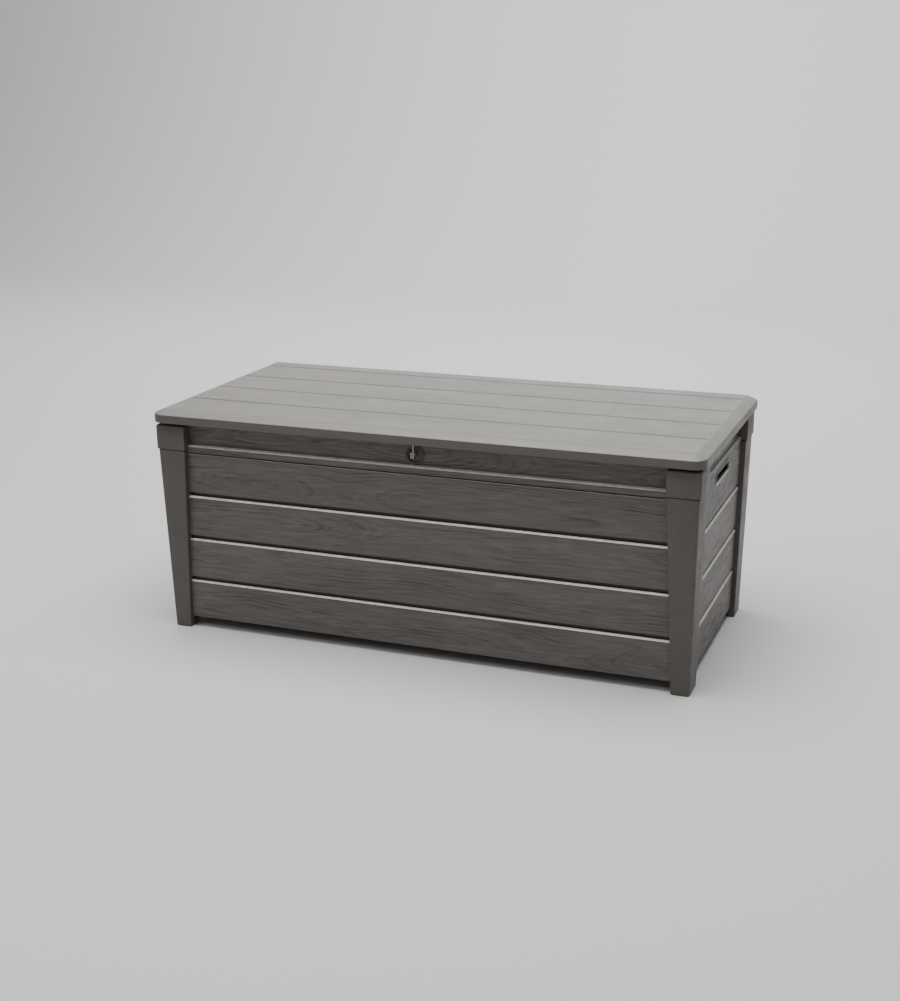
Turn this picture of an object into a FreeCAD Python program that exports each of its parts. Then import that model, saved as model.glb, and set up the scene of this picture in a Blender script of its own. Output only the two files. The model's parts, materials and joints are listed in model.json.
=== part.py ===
import FreeCAD, Part
import math
import os
from FreeCAD import Vector

# Deck storage box.  Millimetres.  X runs along the length, the front faces -Y, +Z is up.
# The origin is on the ground, under the middle of the box.

# ---- driving dimensions ----
LID_LENGTH = 1450.0
LID_DEPTH = 697.0
HEIGHT = 603.0

LID_BOTTOM = 569.5          # lower edge of the lid's rim
LID_SHOULDER = 590.0        # top of the upright rim, where the sloping edge starts
LID_SLOPE = ((0.0, 0.0), (1.5, 1.6), (23.0, 11.2), (28.0, 13.0))  # sloping edge: inset, rise
LID_EDGE = LID_SLOPE[-1][0]  # how far in the sloping edge reaches
LID_CORNER = 34.0           # corner radius in plan
LID_WALL = 3.0
LID_GROOVES = (-183.0, -32.0, 117.0, 267.0)
LID_GROOVE_WIDTH = 5.0
LID_GROOVE_DEPTH = 1.5
LID_GROOVE_REACH = LID_LENGTH / 2 - LID_EDGE

RIM_Z = 566.0               # top of the four wall panels
LEDGE_Z = 508.5             # ledge under the recessed band
PANEL_BOTTOM = 30.0
PANEL_WALL = 3.2
PANEL_DEPTH = 14.0          # skin and ribs together
GROOVES = (134.5, 252.0, 371.0)
GROOVE_BEVEL = 5.0
GROOVE_GAP = 8.5
GROOVE_DEPTH = 7.0
RIB = 2.5
RIM_FLANGE = 10.0
FLOOR_FLANGE = 35.0

FRONT = {"plane": 320.0, "draft": 0.022, "skin": 668.0, "ribbed": 632.0, "recess": 11.0, "rail": 1.5}
SIDE = {"plane": 700.0, "draft": 0.017, "skin": 278.0, "ribbed": 240.0, "recess": 8.0, "rail": 0.0}
RAIL_BOTTOM = 490.5
RAIL_GROOVE = 2.5

POST_TOP = 556.0
CAP_BOTTOM = 498.0
CAP_TOP = 563.0
POST_WALL = 3.2
POST_INNER = (675.0, 292.0)         # the two faces that look into the box
POST_HEAD = (712.5, 336.5)          # outer corner under the cap
POST_FOOT = (703.0, 319.0)          # outer corner at the ground
POST_HEAD_EDGES = (635.0, 245.0)    # where the front face and the side face end, under the cap
POST_FOOT_EDGES = (657.0, 245.0)
CAP_CORNER = (716.0, 338.5)
CAP_EDGES = (633.0, 243.0)

FLOOR_HALF = (674.0, 291.0)
FLOOR_TOP = 48.0
FLOOR_SKIRT = 33.0

HANDLE_HALF = 78.0
HANDLE_LOW = 464.0
HANDLE_HIGH = 486.0
CUP_BACK = 672.5
CUP_FACE = 695.9
CUP_WALL = 2.5

HINGE = Vector(0.0, 334.0, 556.0)   # the lid turns about this line, along X
HINGE_PLACES = (-480.0, 0.0, 480.0)
HINGE_NAMES = ("left", "centre", "right")
BARREL_R = 8.5
PIN_R = 3.5
RUNNING_GAP = 0.08

STRUT_X = 657.0
STRUT_ARM = 270.0                   # both studs lie this far from the hinge line
STRUT_LID_ANGLE = 0.0               # below level, seen from the hinge line
STRUT_BOX_ANGLE = 68.0
TUBE_R = 9.0
TUBE_BORE = 7.8
ROD_R = 4.0
STUD_R = 4.0
EYE_R = 9.0
EYE_HALF = 5.0
NECK_START = 7.5                    # the fittings' necks start clear of the studs' heads

LOCK_Z = 537.0
LOCK_R = 25.0
LOCK_HOLE = Vector(0.0, -319.0, LOCK_Z)
LOCK_HOLE_R = 4.5
TAB = 2.5

SCREW_R = 2.0
SCREW_HEAD_R = 4.2
SCREW_HEAD = 1.8
SCREW_LENGTH = 9.0
HOLE_GAP = 0.05

LINER_BOTTOM = 571.0
LINER_SHEET = 3.0
BAR_PLACES = (-150.0, 130.0)
BAR_SIZE = 20.0
BAR_HALF = 620.0
BAR_WALL = 1.5
CHANNEL_GAP = 2.0


# ---- shared shapes ----
def block(x0, x1, y0, y1, z0, z1):
    return Part.makeBox(x1 - x0, y1 - y0, z1 - z0, Vector(x0, y0, z0))


def rod(radius, start, end):
    axis = end - start
    return Part.makeCylinder(radius, axis.Length, start, axis)


def fused(shapes):
    return shapes[0].fuse(shapes[1:]).removeSplitter()


def rounded_wire(corners, radii, height):
    """Closed level outline, with a radius at each corner."""
    count = len(corners)
    points = [Vector(x, y, height) for x, y in corners]
    starts, ends, arcs = [], [], []
    for i, here in enumerate(points):
        back = (points[i - 1] - here).normalize()
        ahead = (points[(i + 1) % count] - here).normalize()
        half = back.getAngle(ahead) / 2
        reach = radii[i] / math.tan(half)
        starts.append(here + back * reach)
        ends.append(here + ahead * reach)
        middle = here + (back + ahead).normalize() * (radii[i] / math.sin(half) - radii[i])
        arcs.append(Part.Arc(starts[i], middle, ends[i]).toShape() if radii[i] else None)
    edges = []
    for i in range(count):
        if arcs[i]:
            edges.append(arcs[i])
        edges.append(Part.makeLine(ends[i], starts[(i + 1) % count]))
    return Part.Wire(edges)


def rounded_rectangle(half_x, half_y, radius, height):
    corners = [(-half_x, -half_y), (half_x, -half_y), (half_x, half_y), (-half_x, half_y)]
    return rounded_wire(corners, [radius] * 4, height)


def section_prism(section, x0, x1):
    """Solid of one outline given as (outward distance, height), run along X, facing -Y."""
    points = [Vector(x0, -d, z) for d, z in section]
    return Part.Face(Part.makePolygon(points + points[:1])).extrude(Vector(x1 - x0, 0, 0))


def turned(shape, angle):
    """The shape turned about the vertical axis."""
    copy = shape.copy()
    copy.rotate(Vector(0, 0, 0), Vector(0, 0, 1), angle)
    return copy


def mirrored(shape, side):
    """The right-hand shape itself, or its mirror image for the left-hand side."""
    return shape if side > 0 else shape.mirror(Vector(0, 0, 0), Vector(1, 0, 0))


def screw(place, direction):
    """Pan-head screw with a round drive; place is the centre of the seat under its head."""
    head = Part.makeCylinder(SCREW_HEAD_R, SCREW_HEAD, place, direction)
    shank = Part.makeCylinder(SCREW_R, SCREW_LENGTH, place, direction * -1)
    drive = Part.makeCylinder(1.5, 1.0, place + direction * (SCREW_HEAD - 1.0), direction)
    return head.fuse(shank).removeSplitter().cut(drive)


def screw_holes(places, direction):
    """What the screws' shanks take out of the parts that they pass through."""
    return [Part.makeCylinder(SCREW_R + HOLE_GAP, SCREW_LENGTH + 0.5, place, direction * -1)
            for place in places]


# ---- wall panels ----
def outer_section(wall):
    """Outside of a wall, from the bottom up: four planks, ledge and recessed band."""
    def face(z):
        return wall["plane"] - wall["draft"] * (LEDGE_Z - z)
    points = [(face(PANEL_BOTTOM), PANEL_BOTTOM)]
    for z in GROOVES:
        points += [(face(z), z - GROOVE_BEVEL), (face(z) - GROOVE_BEVEL, z),
                   (face(z) - GROOVE_DEPTH, z), (face(z) - GROOVE_DEPTH, z + GROOVE_GAP),
                   (face(z + GROOVE_GAP), z + GROOVE_GAP)]
    front = face(LEDGE_Z) + wall["rail"]
    if wall["rail"]:
        low = RAIL_BOTTOM - RAIL_GROOVE
        points += [(face(low), low), (face(low) - wall["rail"], low),
                   (face(low) - wall["rail"], RAIL_BOTTOM), (front, RAIL_BOTTOM)]
    band = wall["plane"] - wall["recess"]
    return points + [(front, LEDGE_Z - 3), (front - 3, LEDGE_Z), (band, LEDGE_Z)]


def inner_section(wall):
    """Inside of the skin, from the ledge down."""
    def skin(z):
        return wall["plane"] - wall["draft"] * (LEDGE_Z - z) - PANEL_WALL
    step = LEDGE_Z - PANEL_WALL
    points = [(wall["plane"] - wall["recess"] - PANEL_WALL, step), (skin(step), step)]
    for z in reversed(GROOVES):
        top = z + GROOVE_GAP + PANEL_WALL
        low = z - PANEL_WALL - 2
        points += [(skin(top), top), (skin(top) - GROOVE_DEPTH, top),
                   (skin(top) - GROOVE_DEPTH, low), (skin(low), low - GROOVE_DEPTH)]
    return points + [(skin(PANEL_BOTTOM), PANEL_BOTTOM)]


def wall_panel(wall, rib_places):
    """One wall, facing -Y: moulded skin, upright ribs, rim flange and floor flange."""
    band = wall["plane"] - wall["recess"]
    foot = wall["plane"] - wall["draft"] * (LEDGE_Z - PANEL_BOTTOM)
    outside = outer_section(wall)
    skin = outside + [(band, RIM_Z), (band - PANEL_WALL, RIM_Z)] + inner_section(wall)
    back = [(wall["plane"] - PANEL_DEPTH, LEDGE_Z), (foot - PANEL_DEPTH, PANEL_BOTTOM)]
    pieces = [section_prism(skin, -wall["skin"], wall["skin"])]
    pieces += [section_prism(outside + back, x - RIB / 2, x + RIB / 2) for x in rib_places]
    reach = wall["ribbed"]
    pieces.append(block(-reach, reach, -band + 1, -band + PANEL_WALL + RIM_FLANGE, RIM_Z - RIB, RIM_Z))
    pieces.append(block(-reach, reach, -foot + 1, -foot + FLOOR_FLANGE, PANEL_BOTTOM, FLOOR_SKIRT))
    return fused(pieces)


def long_panel():
    bays = 8
    edge = FRONT["ribbed"] - RIB / 2
    return wall_panel(FRONT, [edge * (2 * i / bays - 1) for i in range(bays + 1)])


def front_panel():
    hole = rod(LOCK_R - 2.5, Vector(0, -FRONT["plane"], LOCK_Z), Vector(0, -290, LOCK_Z))
    return long_panel().cut(hole)


def back_panel():
    """The same wall at the back, with a boss behind each hinge."""
    bosses = [block(x - 34, x + 34, HINGE_SEAT - 9, HINGE_SEAT - 1, 530, 562) for x in HINGE_PLACES]
    wall = turned(long_panel(), 180).fuse(bosses).removeSplitter()
    return wall.cut(screw_holes(hinge_box_screws(), Vector(0, 1, 0)))


def side_panel(side):
    """End wall with the finger slot and the pad that carries the gas strut's bracket."""
    wall = turned(wall_panel(SIDE, (-235.0, -170.0, -100.0, 100.0, 170.0, 235.0)), 90)
    slot = block(CUP_FACE - 5, SIDE["plane"] + 5, -HANDLE_HALF, HANDLE_HALF, HANDLE_LOW, HANDLE_HIGH)
    pad = block(BRACKET_SEAT, SIDE["plane"] - 6.6, 205, 243, 285, 327)
    panel = wall.fuse(pad).removeSplitter().cut(slot)
    return mirrored(panel.cut(screw_holes(bracket_box_screws(), Vector(-1, 0, 0))), side)


def handle_cup(side):
    """Pocket behind the slot, open to the wall, where fingers hook up behind the top plank."""
    outer = block(CUP_BACK, CUP_FACE, -HANDLE_HALF - 6, HANDLE_HALF + 6,
                  HANDLE_LOW - 6, HANDLE_HIGH + 18)
    inner = block(CUP_BACK + CUP_WALL, CUP_FACE + 1, -HANDLE_HALF - 3.5, HANDLE_HALF + 3.5,
                  HANDLE_LOW - 3.5, HANDLE_HIGH + 15.5)
    return mirrored(outer.cut(inner), side)


# ---- corner posts ----
def post_outline(corner, edges, inset, height):
    """L-shaped outline of the front right post at one height."""
    x, y = corner[0] - inset, corner[1] - inset
    inner_x, inner_y = POST_INNER[0] + inset, POST_INNER[1] + inset
    corners = [(x, -y), (x, -edges[1] - inset), (inner_x, -edges[1] - inset), (inner_x, -inner_y),
               (edges[0] + inset, -inner_y), (edges[0] + inset, -y)]
    radii = [max(6.0 - inset, 1.0), 1.5, 0, 0, 0, 1.5]
    return rounded_wire(corners, radii, height)


def post_solid(inset, bottom, top):
    """Tapered L-shaped column up to the cap, then straight inside the cap."""
    def mix(low, high, share):
        return tuple(a + (b - a) * share for a, b in zip(low, high))

    def at(z):
        share = min(z / CAP_BOTTOM, 1.0)
        corner = mix(POST_FOOT, POST_HEAD, share)
        return post_outline(corner, mix(POST_FOOT_EDGES, POST_HEAD_EDGES, share), inset, z)

    column = Part.makeLoft([at(bottom), at(CAP_BOTTOM)], True, True)
    return column.fuse(Part.makeLoft([at(CAP_BOTTOM), at(top)], True, True)).removeSplitter()


def wall_slots():
    """Spaces for the ends of the front wall and the right-hand wall, facing -Y and +X."""
    def slab(wall):
        foot = wall["plane"] - wall["draft"] * LEDGE_Z
        outside = wall["rail"] + 0.6
        section = [(foot + outside, 0), (wall["plane"] + outside, LEDGE_Z + 1),
                   (wall["plane"] + outside, RIM_Z + 10), (wall["plane"] - PANEL_DEPTH - 0.5, RIM_Z + 10),
                   (foot - PANEL_DEPTH - 0.5, 0)]
        shape = section_prism(section, -wall["skin"] - 0.5, wall["skin"] + 0.5)
        return shape.cut(block(-800, 800, -800, 0, -1, PANEL_BOTTOM - 2))
    return [slab(FRONT), turned(slab(SIDE), 90)]


def corner_post(side_x, side_y):
    hollow = post_solid(POST_WALL, 4.0, POST_TOP + 1)
    core = post_solid(0.5, 1.0, POST_TOP - 1)
    ties = [block(600, 720, -345, -240, z, z + RIB).common(core) for z in (160.0, 330.0)]
    shape = post_solid(0, 0, POST_TOP).cut(hollow).fuse(ties).removeSplitter().cut(wall_slots())
    return placed_in_corner(shape, side_x, side_y)


def post_cap(side_x, side_y):
    """Square-shouldered cover over the post's head, with a bevelled top edge."""
    outlines = [cap_outline(0, CAP_BOTTOM), cap_outline(0, CAP_TOP - 4), cap_outline(4, CAP_TOP)]
    skin = Part.makeLoft(outlines, True, True)
    neck = post_solid(-0.1, CAP_BOTTOM - 20, POST_TOP + 0.2)
    return placed_in_corner(skin.cut(neck).cut(wall_slots()), side_x, side_y)


def cap_outline(inset, height):
    x, y = CAP_CORNER[0] - inset, CAP_CORNER[1] - inset
    edge_x, edge_y = CAP_EDGES[0] + inset, CAP_EDGES[1] + inset
    inner_x, inner_y = POST_INNER[0] - 2.5 + inset, POST_INNER[1] - 2.5 + inset
    corners = [(x, -y), (x, -edge_y), (inner_x, -edge_y), (inner_x, -inner_y),
               (edge_x, -inner_y), (edge_x, -y)]
    return rounded_wire(corners, [5.0, 1.5, 0, 0, 0, 1.5], height)


def placed_in_corner(shape, side_x, side_y):
    """The front right shape, mirrored to another corner."""
    if side_y > 0:
        shape = shape.mirror(Vector(0, 0, 0), Vector(0, 1, 0))
    return mirrored(shape, side_x)


# ---- floor ----
def floor_panel():
    half_x, half_y = FLOOR_HALF
    tray = block(-half_x, half_x, -half_y, half_y, FLOOR_SKIRT, FLOOR_TOP)
    tray = tray.cut(block(3 - half_x, half_x - 3, 3 - half_y, half_y - 3, FLOOR_SKIRT - 1, FLOOR_TOP - 3))
    low = FLOOR_SKIRT + 1
    along = [block(1 - half_x, half_x - 1, y - 1.25, y + 1.25, low, FLOOR_TOP - 1) for y in (-145, 0, 145)]
    across = [block(x - 1.25, x + 1.25, 1 - half_y, half_y - 1, low, FLOOR_TOP - 1)
              for x in range(-540, 541, 180)]
    return fused([tray] + along + across)


# ---- hinges ----
def hinge_box_screws():
    places = []
    for x in HINGE_PLACES:
        for dx in (-28.0, 28.0):
            places.append(Vector(x + dx, HINGE_SEAT + 3, 536))
    return places


def hinge_lid_screws():
    return [Vector(x + dx, y, LINER_BOTTOM - 3) for x in HINGE_PLACES for dx in (-26.0, 26.0)
            for y in (322.0, 338.0)]


def hinge_box_leaf(x):
    """Plate on the back wall with two arms that carry the pin."""
    plate = block(x - 34, x + 34, HINGE_SEAT, HINGE_SEAT + 3, 530, 562)
    pieces = [plate]
    for x0, x1 in ((x - 30, x - 12), (x + 12, x + 30)):
        pieces.append(block(x0, x1, HINGE_SEAT + 1, HINGE.y, HINGE.z - 7, HINGE.z + 6))
        pieces.append(rod(BARREL_R, Vector(x0, HINGE.y, HINGE.z), Vector(x1, HINGE.y, HINGE.z)))
    bore = rod(PIN_R + 0.01, Vector(x - 40, HINGE.y, HINGE.z), Vector(x + 40, HINGE.y, HINGE.z))
    return fused(pieces).cut(bore).cut(screw_holes(hinge_box_screws(), Vector(0, 1, 0)))


def hinge_lid_leaf(x):
    """Plate under the lid with one middle knuckle that turns on the pin."""
    plate = block(x - 34, x + 34, 316, 344, LINER_BOTTOM - 3, LINER_BOTTOM)
    arm = block(x - 11.6, x + 11.6, HINGE.y - 6, HINGE.y + 6, HINGE.z, LINER_BOTTOM - 2)
    barrel = rod(BARREL_R, Vector(x - 11.6, HINGE.y, HINGE.z), Vector(x + 11.6, HINGE.y, HINGE.z))
    bore = rod(PIN_R + RUNNING_GAP, Vector(x - 40, HINGE.y, HINGE.z), Vector(x + 40, HINGE.y, HINGE.z))
    return fused([plate, arm, barrel]).cut(bore).cut(screw_holes(hinge_lid_screws(), Vector(0, 0, -1)))


def hinge_pin(x):
    start, end = Vector(x - 30, HINGE.y, HINGE.z), Vector(x + 32, HINGE.y, HINGE.z)
    head = rod(PIN_R + 2, Vector(x - 32, HINGE.y, HINGE.z), start)
    return fused([rod(PIN_R, start, end), head])


# ---- gas struts: right-hand side; the left-hand ones are mirrored ----
def stud_place(angle):
    turn = math.radians(angle)
    return Vector(STRUT_X, HINGE.y - STRUT_ARM * math.cos(turn), HINGE.z - STRUT_ARM * math.sin(turn))


def along_strut(distance):
    """Point on the strut's centre line, measured from the stud on the box towards the lid."""
    line = (LID_STUD - BOX_STUD).normalize()
    return BOX_STUD + line * distance


def eye(centre):
    return rod(EYE_R, centre - Vector(EYE_HALF, 0, 0), centre + Vector(EYE_HALF, 0, 0))


def eye_bore(centre):
    return rod(STUD_R + RUNNING_GAP, centre - Vector(20, 0, 0), centre + Vector(20, 0, 0))


def strut_foot(side):
    """Moulded end fitting, pressed into the tube, that turns on the box's stud."""
    neck = rod(7.0, along_strut(NECK_START), along_strut(18))
    plug = rod(TUBE_BORE, along_strut(18), along_strut(24))
    return mirrored(fused([eye(BOX_STUD), neck, plug]).cut(eye_bore(BOX_STUD)), side)


def strut_tube(side):
    tube = rod(TUBE_R, along_strut(18), along_strut(270))
    return mirrored(tube.cut(rod(TUBE_BORE, along_strut(10), along_strut(280))), side)


def strut_gland(side):
    """Guide and seal at the tube's mouth, where the rod slides."""
    body = fused([rod(TUBE_BORE, along_strut(264), along_strut(270)),
                  rod(TUBE_R, along_strut(270), along_strut(273))])
    return mirrored(body.cut(rod(ROD_R + RUNNING_GAP, along_strut(260), along_strut(280))), side)


def strut_rod(side):
    return mirrored(fused([rod(ROD_R, along_strut(34), along_strut(288)),
                           rod(ROD_R - 1, along_strut(26), along_strut(34))]), side)


def strut_piston(side):
    disc = rod(TUBE_BORE - 0.3, along_strut(26), along_strut(34))
    return mirrored(disc.cut(rod(ROD_R - 1, along_strut(20), along_strut(40))), side)


def strut_head(side):
    """Moulded end fitting on the rod that turns on the lid's stud."""
    near_stud = (LID_STUD - BOX_STUD).Length - NECK_START
    body = fused([eye(LID_STUD), rod(6.5, along_strut(276), along_strut(near_stud))])
    socket = rod(ROD_R, along_strut(270), along_strut(288))
    return mirrored(body.cut(socket).cut(eye_bore(LID_STUD)), side)


def pivot_stud(centre, shoulder_end):
    """Riveted stud: head, journal in the eye, and shoulder up to its plate."""
    inner, outer = centre.x - EYE_HALF - 0.3, centre.x + EYE_HALF + 0.4
    head = rod(STUD_R + 1.4, Vector(inner - 1.5, centre.y, centre.z), Vector(inner, centre.y, centre.z))
    journal = rod(STUD_R, Vector(inner, centre.y, centre.z), Vector(outer, centre.y, centre.z))
    shoulder = rod(STUD_R + 2, Vector(outer, centre.y, centre.z), Vector(shoulder_end, centre.y, centre.z))
    return [head, journal, shoulder]


def bracket_box_screws():
    return [Vector(BRACKET_SEAT - 3, 215, z) for z in (296.0, 316.0)]


def bracket_lid_screws():
    return [Vector(645, y, LINER_BOTTOM - 2.5) for y in (50.0, 78.0)]


def strut_box_bracket(side):
    plate = block(BRACKET_SEAT - 3, BRACKET_SEAT, 207, 243, 287, 325)
    body = fused([plate] + pivot_stud(BOX_STUD, BRACKET_SEAT - 2))
    return mirrored(body.cut(screw_holes(bracket_box_screws(), Vector(-1, 0, 0))), side)


def strut_lid_bracket(side):
    flange = block(636, 671, 42, 86, LINER_BOTTOM - 2.5, LINER_BOTTOM)
    ear = block(668, 671, 52, 76, 547, LINER_BOTTOM)
    body = fused([flange, ear] + pivot_stud(LID_STUD, 669))
    return mirrored(body.cut(screw_holes(bracket_lid_screws(), Vector(0, 0, -1))), side)


# ---- lock ----
def lock_dish():
    """Round shallow dish set into the recessed band, behind the padlock tabs."""
    face = FRONT["plane"] - FRONT["recess"]
    flange = rod(LOCK_R, Vector(0, -face - 2, LOCK_Z), Vector(0, -face, LOCK_Z))
    cup = rod(LOCK_R - 2.7, Vector(0, -face, LOCK_Z), Vector(0, -face + 14.5, LOCK_Z))
    hollow = rod(LOCK_R - 4.7, Vector(0, -face - 5, LOCK_Z), Vector(0, -face + 7, LOCK_Z))
    return fused([flange, cup]).cut(hollow).cut(screw_holes(staple_screws(), Vector(0, -1, 0)))


def staple_screws():
    return [Vector(-10.5, LOCK_SEAT - 2, z) for z in (531.0, 543.0)]


def hasp_screws():
    return [Vector(x, -321.5, LINER_BOTTOM - TAB) for x in (14.0, 28.0)]


def rounded_tab(x0, x1, y_out, y_in, z0, z1):
    """Flat tab in the YZ plane with its free lower corner rounded off."""
    plate = block(x0, x1, y_out, y_in, z0, z1)
    free = [e for e in plate.Edges if abs(e.Length - (x1 - x0)) < 1e-6
            and abs(e.CenterOfMass.y - y_out) < 1e-6 and e.CenterOfMass.z < LID_BOTTOM - 5]
    return plate.makeFillet(5.0, free)


def lock_staple():
    """Steel plate screwed to the dish, with the box's padlock tab."""
    base = block(-17, -TAB + 1, LOCK_SEAT - 2, LOCK_SEAT, 526, 548)
    tab = rounded_tab(-TAB - 1.5, -1.5, -327, LOCK_SEAT, 528, 546)
    hole = rod(LOCK_HOLE_R, LOCK_HOLE - Vector(20, 0, 0), LOCK_HOLE + Vector(20, 0, 0))
    return fused([base, tab]).cut(hole).cut(screw_holes(staple_screws(), Vector(0, -1, 0)))


def lid_hasp():
    """Steel angle under the lid's rim, with the lid's padlock tab."""
    flange = block(1.5, 35, -330, -313, LINER_BOTTOM - TAB, LINER_BOTTOM)
    tab = rounded_tab(1.5, 1.5 + TAB, -327, -313, 528, LINER_BOTTOM)
    hole = rod(LOCK_HOLE_R, LOCK_HOLE - Vector(20, 0, 0), LOCK_HOLE + Vector(20, 0, 0))
    return fused([flange, tab]).cut(hole).cut(screw_holes(hasp_screws(), Vector(0, 0, -1)))


# ---- lid ----
def rim_sections(offset, overrun):
    """Level outlines of the lid, overrun below its rim, up over the sloping edge to the flat top."""
    half_x, half_y = LID_LENGTH / 2 - offset, LID_DEPTH / 2 - offset
    wires = [rounded_rectangle(half_x, half_y, LID_CORNER - offset, LID_BOTTOM - overrun)]
    for inset, rise in LID_SLOPE:
        radius = max(LID_CORNER - offset - inset * 0.7, 4.0)
        wires.append(rounded_rectangle(half_x - inset, half_y - inset, radius, LID_SHOULDER + rise - offset))
    return wires


def lid_shell():
    """Outer lid: sloping edge, five planks on top, open underneath."""
    outside = Part.makeLoft(rim_sections(0, 0), True, True)
    inside = Part.makeLoft(rim_sections(LID_WALL, 1), True, True)
    half = LID_GROOVE_WIDTH / 2
    grooves = [block(-LID_GROOVE_REACH, LID_GROOVE_REACH, y - half, y + half,
                     HEIGHT - LID_GROOVE_DEPTH, HEIGHT + 5) for y in LID_GROOVES]
    return outside.cut([inside] + grooves)


def lid_liner():
    """Inner lid: sheet with stiffening ribs, two channels for the bars, and a rain lip."""
    half_x, half_y = LID_LENGTH / 2 - LID_WALL, LID_DEPTH / 2 - LID_WALL
    sheet_top = LINER_BOTTOM + LINER_SHEET
    rib_top = HEIGHT - LID_WALL - 0.5
    outline = rounded_rectangle(half_x, half_y, LID_CORNER - LID_WALL, LINER_BOTTOM)
    pieces = [Part.Face(outline).extrude(Vector(0, 0, LINER_SHEET))]
    inset = LID_EDGE + 4
    pieces += [block(x - RIB / 2, x + RIB / 2, inset - half_y, half_y - inset, sheet_top - 1, rib_top)
               for x in range(-600, 601, 150)]
    pieces += [block(inset - half_x, half_x - inset, y - RIB / 2, y + RIB / 2, sheet_top - 1, rib_top)
               for y in (-290, -20, 250)]
    channel = BAR_SIZE / 2 + CHANNEL_GAP
    roof = LINER_BOTTOM + BAR_SIZE + 3
    reach = BAR_HALF + CHANNEL_GAP
    pieces += [block(-reach - RIB, reach + RIB, y - channel - RIB, y + channel + RIB,
                     LINER_BOTTOM, roof + RIB) for y in BAR_PLACES]
    lip_low, wall = LINER_BOTTOM - 11, RIB
    for side in (-1, 1):
        y, x = side * 289.25, side * 677.25
        pieces.append(block(-628, 628, y - wall / 2, y + wall / 2, lip_low, sheet_top - 1))
        pieces.append(block(x - wall / 2, x + wall / 2, -238, 238, lip_low, sheet_top - 1))
    body = fused(pieces)
    for y in BAR_PLACES:
        body = body.cut(block(-reach, reach, y - channel, y + channel, LINER_BOTTOM - 1, roof))
    straps = [block(x - 9, x + 9, y - channel - 1, y + channel + 1, LINER_BOTTOM, LINER_BOTTOM + 2.5)
              for x in (-525, -225, 225, 525) for y in BAR_PLACES]
    holes = screw_holes(hinge_lid_screws() + hasp_screws(), Vector(0, 0, -1))
    for side in (-1, 1):
        holes += [mirrored(hole, side) for hole in screw_holes(bracket_lid_screws(), Vector(0, 0, -1))]
    return body.fuse(straps).removeSplitter().cut(holes)


def lid_bar(y):
    """Square steel tube that keeps the lid from sagging."""
    low = LINER_BOTTOM + 2.6
    half, clear = BAR_SIZE / 2, BAR_SIZE / 2 - BAR_WALL
    tube = block(-BAR_HALF, BAR_HALF, y - half, y + half, low, low + BAR_SIZE)
    return tube.cut(block(-BAR_HALF - 1, BAR_HALF + 1, y - clear, y + clear,
                          low + BAR_WALL, low + BAR_SIZE - BAR_WALL))


def lid_buffers():
    """Rubber pads under the lid that land on the front wall's rim."""
    return [block(x - 12, x + 12, -306, -297, RIM_Z + 0.3, LINER_BOTTOM) for x in (-560, -220, 220, 560)]


# ---- worked-out places ----
HINGE_SEAT = FRONT["plane"] - FRONT["recess"]
LOCK_SEAT = -HINGE_SEAT + 7.0
BRACKET_SEAT = 682.0
LID_STUD = stud_place(STRUT_LID_ANGLE)
BOX_STUD = stud_place(STRUT_BOX_ANGLE)


# ---- every node ----
def build():
    nodes = {"front_panel": front_panel(), "back_panel": back_panel(), "floor_panel": floor_panel(),
             "lock_dish": lock_dish(), "lock_staple": lock_staple(), "lid_shell": lid_shell(),
             "lid_liner": lid_liner(), "lid_hasp": lid_hasp()}
    for name, x in zip(HINGE_NAMES, HINGE_PLACES):
        nodes["hinge_box_leaf_" + name] = hinge_box_leaf(x)
        nodes["hinge_lid_leaf_" + name] = hinge_lid_leaf(x)
        nodes["hinge_pin_" + name] = hinge_pin(x)
    for name, y in zip(("front", "rear"), BAR_PLACES):
        nodes["lid_bar_" + name] = lid_bar(y)
    for end, side in (("left", -1), ("right", 1)):
        nodes[end + "_panel"] = side_panel(side)
        nodes["handle_cup_" + end] = handle_cup(side)
        for row, side_y in (("front", -1), ("back", 1)):
            nodes["post_" + row + "_" + end] = corner_post(side, side_y)
            nodes["post_cap_" + row + "_" + end] = post_cap(side, side_y)
        for make in (strut_foot, strut_tube, strut_gland, strut_rod, strut_piston, strut_head,
                     strut_box_bracket, strut_lid_bracket):
            nodes[make.__name__ + "_" + end] = make(side)
    nodes["lid_buffers"] = Part.makeCompound(lid_buffers())
    down, back, front, inward = Vector(0, 0, -1), Vector(0, 1, 0), Vector(0, -1, 0), Vector(-1, 0, 0)
    nodes["hinge_screws_box"] = Part.makeCompound([screw(p, back) for p in hinge_box_screws()])
    nodes["hinge_screws_lid"] = Part.makeCompound([screw(p, down) for p in hinge_lid_screws()])
    nodes["lock_screws"] = Part.makeCompound([screw(p, front) for p in staple_screws()])
    nodes["hasp_screws"] = Part.makeCompound([screw(p, down) for p in hasp_screws()])
    for node, places, way in (("strut_screws_box", bracket_box_screws(), inward),
                              ("strut_screws_lid", bracket_lid_screws(), down)):
        nodes[node] = Part.makeCompound([mirrored(screw(p, way), side)
                                         for p in places for side in (-1, 1)])
    return nodes


os.makedirs("parts", exist_ok=True)
for node, shape in build().items():
    shape.exportStep("parts/" + node + ".step")
    state = "valid" if shape.isValid() else "INVALID"
    print(node, len(shape.Solids), state, round(shape.Volume / 1000, 1), "cm3")
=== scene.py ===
import json
import math

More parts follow.
